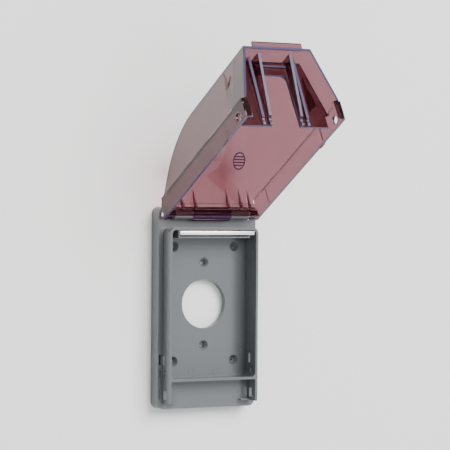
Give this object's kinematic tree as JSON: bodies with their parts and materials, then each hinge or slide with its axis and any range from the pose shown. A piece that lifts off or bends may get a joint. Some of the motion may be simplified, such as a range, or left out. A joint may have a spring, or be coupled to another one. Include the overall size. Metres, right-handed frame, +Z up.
{
  "type": "weatherproof outlet cover",
  "caption": "Wall-mounted in-use outlet cover: gray tub base with a round receptacle opening and a hinged clear tinted lid with a cord slot.",
  "frame": {"origin": "centre of the receptacle opening on the front face of the mounting plate", "axes": "+X across the cover, +Y into the wall, +Z up"},
  "size_m": [0.0798, 0.1361, 0.2591],
  "materials": {
    "base_plastic": "semi-gloss moulded",
    "lid_clear": "clear tinted polycarbonate",
    "steel": "bright",
    "spring_steel": "polished",
    "foam": "closed-cell foam"
  },
  "bodies": {
    "base": {"base_housing": "base_plastic", "hinge_pin": "steel", "hold_open_spring": "spring_steel", "wall_gasket": "foam"},
    "lid": {"lid": "lid_clear"}
  },
  "joints": [
    {"name": "lid_hinge", "type": "hinge", "parent": "base", "child": "lid", "pos_m": [0, -0.0092, 0.0648], "axis": [-1, 0, 0], "range_deg": [-120.2, 0]}
  ]
}
